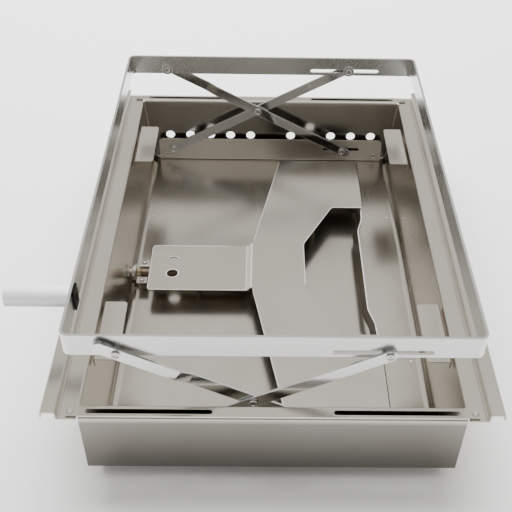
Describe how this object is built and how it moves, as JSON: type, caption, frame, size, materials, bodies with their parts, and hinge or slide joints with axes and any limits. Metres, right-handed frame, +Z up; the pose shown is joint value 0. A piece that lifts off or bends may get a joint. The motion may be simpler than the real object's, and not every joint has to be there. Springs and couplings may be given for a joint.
{
  "type": "burner assembly",
  "caption": "Folded sheet-steel burner tray with a shielded gas burner in its floor and a flat-bar pan frame that rises and falls level on scissor linkages.",
  "frame": {"origin": "centre of the tray floor's underside", "axes": "+X to the right, away from the gas inlet and the handle; +Y to the rear end; +Z up"},
  "size_m": [0.5191, 0.632, 0.1925],
  "materials": {
    "polished_sheet": "polished",
    "bright_bar": "polished",
    "rivet_steel": "satin",
    "handle_aluminium": "satin",
    "black_fixing": "satin",
    "gas_brass": "satin",
    "burner_steel": "heat-darkened"
  },
  "bodies": {
    "tray": {"burner_body": "burner_steel", "burner_shield": "polished_sheet", "crossover_strip": "polished_sheet", "front_arm_bracket": "polished_sheet", "front_branch_post": "polished_sheet", "front_end_panel": "polished_sheet", "front_fixed_pivot_pin": "rivet_steel", "front_inner_post": "polished_sheet", "front_left_corner_rivet": "rivet_steel", "front_left_pan_ledge": "polished_sheet", "front_left_standoff_rivet": "rivet_steel", "front_outer_post": "polished_sheet", "front_right_corner_rivet": "rivet_steel", "front_right_pan_ledge": "polished_sheet", "front_right_standoff_rivet": "rivet_steel", "front_saddle_screw": "rivet_steel", "gas_injector": "gas_brass", "injector_collar": "polished_sheet", "inlet_lock_nut": "gas_brass", "inlet_stub": "gas_brass", "mixer_saddle": "polished_sheet", "mixer_tube": "gas_brass", "rear_arm_bracket": "polished_sheet", "rear_branch_post": "polished_sheet", "rear_end_panel": "polished_sheet", "rear_fixed_pivot_pin": "rivet_steel", "rear_inner_post": "polished_sheet", "rear_left_corner_rivet": "rivet_steel", "rear_left_pan_ledge": "polished_sheet", "rear_left_standoff_rivet": "rivet_steel", "rear_outer_post": "polished_sheet", "rear_right_corner_rivet": "rivet_steel", "rear_right_pan_ledge": "polished_sheet", "rear_right_standoff_rivet": "rivet_steel", "rear_saddle_screw": "rivet_steel", "tray": "polished_sheet"},
    "front_straight_arm": {"front_straight_arm": "bright_bar", "front_upper_slide_pin": "rivet_steel", "front_centre_rivet": "rivet_steel"},
    "front_joggled_arm": {"front_joggled_arm": "bright_bar", "front_lower_slide_pin": "rivet_steel"},
    "lift_frame": {"lift_frame": "bright_bar", "front_lift_pivot_pin": "rivet_steel", "rear_lift_pivot_pin": "rivet_steel", "handle_tube": "handle_aluminium", "handle_plug": "handle_aluminium", "handle_backing": "black_fixing", "handle_stud": "rivet_steel"},
    "rear_straight_arm": {"rear_straight_arm": "bright_bar", "rear_upper_slide_pin": "rivet_steel", "rear_centre_rivet": "rivet_steel"},
    "rear_joggled_arm": {"rear_joggled_arm": "bright_bar", "rear_lower_slide_pin": "rivet_steel"}
  },
  "joints": [
    {"name": "frame_lift", "type": "hinge", "parent": "tray", "child": "front_straight_arm", "pos_m": [-0.157, -0.28725, 0.0245], "axis": [0, -1, 0], "range_deg": [-10.2, 8.9]},
    {"name": "front_scissor_centre", "type": "hinge", "parent": "front_straight_arm", "child": "front_joggled_arm", "pos_m": [-0.02085, -0.28583, 0.098], "axis": [0, -1, 0], "range_deg": [-18, 20.6]},
    {"name": "front_frame_pivot", "type": "hinge", "parent": "front_joggled_arm", "child": "lift_frame", "pos_m": [-0.157, -0.28725, 0.1715], "axis": [0, -1, 0], "range_deg": [-10.4, 9.1]},
    {"name": "rear_arm_pivot", "type": "hinge", "parent": "tray", "child": "rear_straight_arm", "pos_m": [-0.157, 0.28725, 0.0245], "axis": [0, -1, 0], "range_deg": [-10.4, 9.1]},
    {"name": "rear_scissor_centre", "type": "hinge", "parent": "rear_straight_arm", "child": "rear_joggled_arm", "pos_m": [-0.02085, 0.28583, 0.098], "axis": [0, -1, 0], "range_deg": [-18, 20.6]}
  ],
  "couplings": [
    {"joint": "front_scissor_centre", "follows": "frame_lift", "ratio": -2},
    {"joint": "front_frame_pivot", "follows": "frame_lift", "ratio": 1},
    {"joint": "rear_arm_pivot", "follows": "frame_lift", "ratio": 1},
    {"joint": "rear_scissor_centre", "follows": "frame_lift", "ratio": -2}
  ]
}
